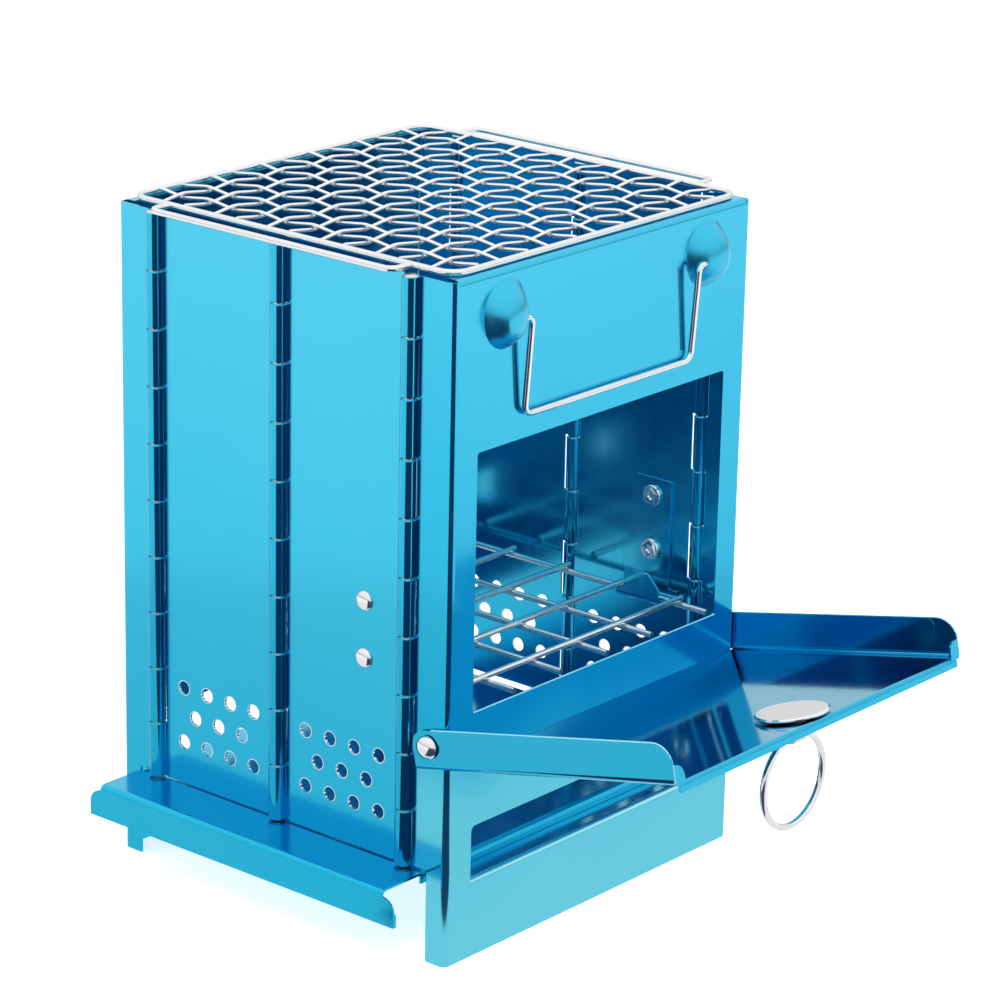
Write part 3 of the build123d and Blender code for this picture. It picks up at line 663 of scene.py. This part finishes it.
turn = np.linspace(0, 2 * math.pi, 72, endpoint=False)
ring_route = np.array(RING_CENTRE) + RING_R * np.stack([np.cos(turn), 0 * turn, np.sin(turn)], axis=1)
ring_grid = wire_grid(ring_route, (0, 1, 0), RING_WIRE_R, 24, True)
ring = fill_mesh("pull_ring_wire", [ring_grid], WIRE_SHARP)
place(ring, "ring", WIRE, ("pull_ring",))

disc_profile = [
    (0, 0), (DISC_FOOT_R, 0), (DISC_FOOT_R, DISC_FOOT), (DISC_R - 0.3, DISC_FOOT),
    (DISC_R, DISC_FOOT + 0.3), (DISC_R, DISC_TOP - 0.45), (DISC_R - 0.5, DISC_TOP), (0, DISC_TOP),
]
disc_origin = door_point(0, PULL_ALONG, DOOR_PLATE_TOP)
disc = fill_mesh("pull_disc_cap", [turned_grid(disc_profile, disc_origin, DOOR_UP, 64)])
place(disc, "fuel_door", CHROME, ("pull_disc",))
eye = finish_mesh("pull_eye_smooth", NODES["pull_eye"].data.copy(), EYE_SHARP)
place(eye, "fuel_door", CHROME, ("pull_eye",))


# Cooking grate


def crimped_route(half_length, pitch, rise, start):
    """Wave with straight flanks whose crests and troughs stand at the crossings: the height is
    rise arcsin(steep cos phase) / arcsin(steep)."""
    along = np.linspace(-half_length, half_length, 8 * (MESH_COUNT + 1) + 1)
    phase = (along / pitch + (MESH_COUNT - 1) / 2) * math.pi
    height = rise * np.arcsin(MESH_STEEP * np.cos(phase)) / math.asin(MESH_STEEP)
    return along, height * (1 if start else -1)


def place_grate(name, grids, body, material, node):
    """Bright wires of a grate as one piece, in place of their node."""
    place(fill_mesh(name, grids, WIRE_SHARP), body, material, (node,))


outline = [
    (-FRAME_HALF_X, -FRAME_HALF_Y, GRATE_Z), (FRAME_HALF_X, -FRAME_HALF_Y, GRATE_Z),
    (FRAME_HALF_X, FRAME_HALF_Y, GRATE_Z), (-FRAME_HALF_X, FRAME_HALF_Y, GRATE_Z),
]
frame_route = rounded_route(outline, (FRAME_CORNER,) * 4, True, 10)
frame_grid = wire_grid(frame_route, (0, 0, 1), GRATE_WIRE_R, 18, True)
place_grate("grate_frame_wire", [frame_grid], "cooking_grate", WIRE, "cooking_grate_frame")

pitch_x = 2 * FRAME_HALF_X / (MESH_COUNT + 1)
pitch_y = 2 * FRAME_HALF_Y / (MESH_COUNT + 1)
warp, weft = [], []
for index in range(MESH_COUNT):
    along, height = crimped_route(WARP_HALF, pitch_y, MESH_RISE, index % 2)
    x = (index + 1) * pitch_x - FRAME_HALF_X
    route = np.stack([0 * along + x, along, GRATE_Z + height], axis=1)
    warp.append(wire_grid(route, (1, 0, 0), MESH_WIRE_R, 12))
    along, height = crimped_route(WEFT_HALF, pitch_x, -MESH_RISE, index % 2)
    y = (index + 1) * pitch_y - FRAME_HALF_Y
    route = np.stack([along, 0 * along + y, GRATE_Z + height], axis=1)
    weft.append(wire_grid(route, (0, 1, 0), MESH_WIRE_R, 12))
place_grate("grate_warp_wires", warp, "cooking_grate", MESH_WIRE, "cooking_grate_warp")
place_grate("grate_weft_wires", weft, "cooking_grate", MESH_WIRE, "cooking_grate_weft")

for side, hand in ((-1, "left"), (1, "right")):
    inner_x, outer_x = side * HANDLE_INNER_X, side * HANDLE_OUTER_X
    corners = [
        (inner_x, -HANDLE_HALF_Y, GRATE_Z), (outer_x, -HANDLE_HALF_Y, GRATE_Z),
        (outer_x, HANDLE_HALF_Y, GRATE_Z), (inner_x, HANDLE_HALF_Y, GRATE_Z),
    ]
    route = rounded_route(corners, (HANDLE_CORNER, HANDLE_CORNER))
    handle_grid = wire_grid(route, (0, 0, 1), GRATE_WIRE_R, 18)
    handle_node = f"cooking_grate_{hand}_handle"
    place_grate(f"{hand}_grate_handle_wire", [handle_grid], "cooking_grate", WIRE, handle_node)


# Fire grate: six long bars with five cross bars lying on them

long_bars = [
    straight_wire(
        (side * x, -LONG_BAR_HALF, LONG_BAR_Z), (side * x, LONG_BAR_HALF, LONG_BAR_Z), GRATE_WIRE_R)
    for x in LONG_BAR_X for side in (-1, 1)
]
cross_bars = [
    straight_wire((-CROSS_BAR_HALF, y, CROSS_BAR_Z), (CROSS_BAR_HALF, y, CROSS_BAR_Z), GRATE_WIRE_R)
    for y in CROSS_BAR_FIRST_Y + CROSS_BAR_PITCH * np.arange(CROSS_BAR_COUNT)
]
place_grate("fire_grate_long_wires", long_bars, "fire_grate", MESH_WIRE, "fire_grate_long_bars")
place_grate("fire_grate_cross_wires", cross_bars, "fire_grate", MESH_WIRE, "fire_grate_cross_bars")


# Studio: near-white floor, surroundings bright overhead and dim below, soft lights


def stage_plane(name, centre, size, material):
    """A flat rectangle of the studio."""
    mesh = bpy.data.meshes.new(name)
    a, b = size[0] / 2, size[1] / 2
    mesh.from_pydata([(-a, -b, 0), (a, -b, 0), (a, b, 0), (-a, b, 0)], [], [(0, 1, 2, 3)])
    plane = bpy.data.objects.new(name, mesh)
    plane.location = centre
    bpy.context.scene.collection.objects.link(plane)
    mesh.materials.append(material)
    return plane


def glowing(name, colour, strength):
    """A surface that only gives light."""
    material, nodes, links = new_material(name)
    glow = nodes.new("ShaderNodeEmission")
    glow.inputs["Color"].default_value = (*colour, 1.0)
    glow.inputs["Strength"].default_value = strength
    links.new(glow.outputs[0], nodes["Material Output"].inputs["Surface"])
    return material


def floor_white():
    """White paper sweep, lifted a little so that it stays white away from the lights."""
    material = new_material("floor_white")[0]
    shader = material.node_tree.nodes["Principled BSDF"]
    shader.inputs["Base Color"].default_value = (0.9, 0.9, 0.9, 1.0)
    shader.inputs["Roughness"].default_value = 0.9
    shader.inputs["Specular IOR Level"].default_value = 0.0
    shader.inputs["Emission Color"].default_value = (1, 1, 1, 1)
    shader.inputs["Emission Strength"].default_value = 0.7
    return material


def mirrored_floor(name, start, end, near, far, strength, colour, steps=24):
    """A fan of the floor that only mirrors see, between two azimuths in degrees and two distances:
    each place is (distance sin azimuth, -distance cos azimuth, 0)."""
    azimuth = np.radians(np.linspace(start, end, steps))[:, None]
    distance = np.array([near, far])[None, :]
    level = 0 * azimuth * distance
    points = np.stack([np.sin(azimuth) * distance, -np.cos(azimuth) * distance, level], axis=-1)
    mesh = bpy.data.meshes.new(name)
    mesh.from_pydata(points.reshape(-1, 3).tolist(), [], grid_faces(steps, 2, False, False).tolist())
    fan = bpy.data.objects.new(name, mesh)
    bpy.context.scene.collection.objects.link(fan)
    mesh.materials.append(glowing(name, colour, strength))
    fan.visible_camera = fan.visible_diffuse = fan.visible_shadow = False


def area_light(name, location, target, size, power):
    """Soft rectangular light that faces a target and isn't seen in mirrors."""
    light = bpy.data.lights.new(name, "AREA")
    light.shape = "RECTANGLE"
    light.size, light.size_y = size
    light.energy = power
    light.specular_factor = 0.0
    lamp = bpy.data.objects.new(name, light)
    lamp.location = location
    direction = np.array(target, float) - np.array(location, float)
    lamp.rotation_euler = Vector(direction).to_track_quat("-Z", "Y").to_euler()
    lamp.visible_glossy = False
    bpy.context.scene.collection.objects.link(lamp)


def studio_world():
    """Soft surroundings: bright above the horizon and overhead, dim below it."""
    world = bpy.data.worlds.new("studio")
    world.use_nodes = True
    nodes, links = world.node_tree.nodes, world.node_tree.links
    direction = nodes.new("ShaderNodeTexCoord")
    split = nodes.new("ShaderNodeSeparateXYZ")
    ramp = nodes.new("ShaderNodeValToRGB")
    links.new(direction.outputs["Generated"], split.inputs["Vector"])
    shift = nodes.new("ShaderNodeMapRange")
    shift.inputs["From Min"].default_value, shift.inputs["From Max"].default_value = -1.0, 1.0
    links.new(split.outputs["Z"], shift.inputs["Value"])
    links.new(shift.outputs["Result"], ramp.inputs["Fac"])
    levels = ((0.0, 0.1), (0.47, 0.2), (0.53, 0.75), (0.66, 0.95), (0.82, 1.0), (1.0, 1.1))
    colour_stops(ramp.color_ramp, [(position, (level,) * 3) for position, level in levels])
    links.new(ramp.outputs["Color"], nodes["Background"].inputs["Color"])
    bpy.context.scene.world = world


floor = stage_plane("floor", (0, 0, -0.0002), (14, 14), floor_white())
floor.visible_glossy = False

# The floor as mirrors see it, in rings (name, near, far, strength, colour)
WHITE, NAVY = (1.0, 1.0, 1.0), (0.35, 0.5, 1.0)
LIT_RINGS = (("_near", 0.0, 0.35, 0.88, WHITE), ("_far", 0.35, 3.0, 1.05, WHITE))
DIM_RINGS = (("_near", 0.0, 0.125, 0.88, WHITE), ("_far", 0.125, 3.0, 0.12, NAVY))
WHOLE_RING = (("", 0.0, 3.0, 0.7, WHITE),)
for side_name, start, end, rings in (
    ("camera_side", -78, -12, DIM_RINGS), ("right", -12, 102, LIT_RINGS),
    ("left", 168, 282, LIT_RINGS), ("far_corner", 102, 168, WHOLE_RING),
):
    for ring_name, near, far, strength, colour in rings:
        mirrored_floor(f"floor_{side_name}{ring_name}", start, end, near, far, strength, colour)

STOVE_MIDDLE = (0, 0, 0.1)
area_light("key", (-0.9, -0.5, 1.3), STOVE_MIDDLE, (0.7, 0.7), 14)
area_light("fill", (0.9, -1.2, 0.9), STOVE_MIDDLE, (0.6, 0.6), 7)
studio_world()
bpy.context.scene.view_settings.view_transform = "Standard"


# Camera, from a fit to the stove's corners in the photograph

CAMERA_AZIMUTH = math.radians(-49.95)
CAMERA_ELEVATION = math.radians(18.46)
CAMERA_ROLL = math.radians(1.204)
CAMERA_TARGET = np.array([32.41, 0.0, 106.2]) * MM
CAMERA_DISTANCE = 1.269
FOCAL_PIXELS = 4022
PICTURE_PIXELS = 1000
SENSOR_WIDTH = 36.0


def photo_camera():
    """Camera that looks at its target from an azimuth and an elevation, turned by its roll. Its
    focal length was measured in pixels of the photograph, which is PICTURE_PIXELS wide."""
    outward = np.array([
        math.sin(CAMERA_AZIMUTH) * math.cos(CAMERA_ELEVATION),
        -math.cos(CAMERA_AZIMUTH) * math.cos(CAMERA_ELEVATION),
        math.sin(CAMERA_ELEVATION),
    ])
    right = np.cross(-outward, (0, 0, 1))
    right /= np.linalg.norm(right)
    upward = np.cross(right, -outward)
    matrix = np.eye(4)
    matrix[:3, 0] = right * math.cos(CAMERA_ROLL) + upward * math.sin(CAMERA_ROLL)
    matrix[:3, 1] = -right * math.sin(CAMERA_ROLL) + upward * math.cos(CAMERA_ROLL)
    matrix[:3, 2] = outward
    matrix[:3, 3] = CAMERA_TARGET + CAMERA_DISTANCE * outward
    lens = bpy.data.cameras.new("photo_view")
    lens.sensor_width = SENSOR_WIDTH
    lens.lens = FOCAL_PIXELS / PICTURE_PIXELS * SENSOR_WIDTH
    lens.clip_start = 0.05
    lens.clip_end = 30
    camera = bpy.data.objects.new("photo_view", lens)
    camera.matrix_world = Matrix(matrix.tolist())
    bpy.context.scene.collection.objects.link(camera)
    bpy.context.scene.camera = camera


photo_camera()
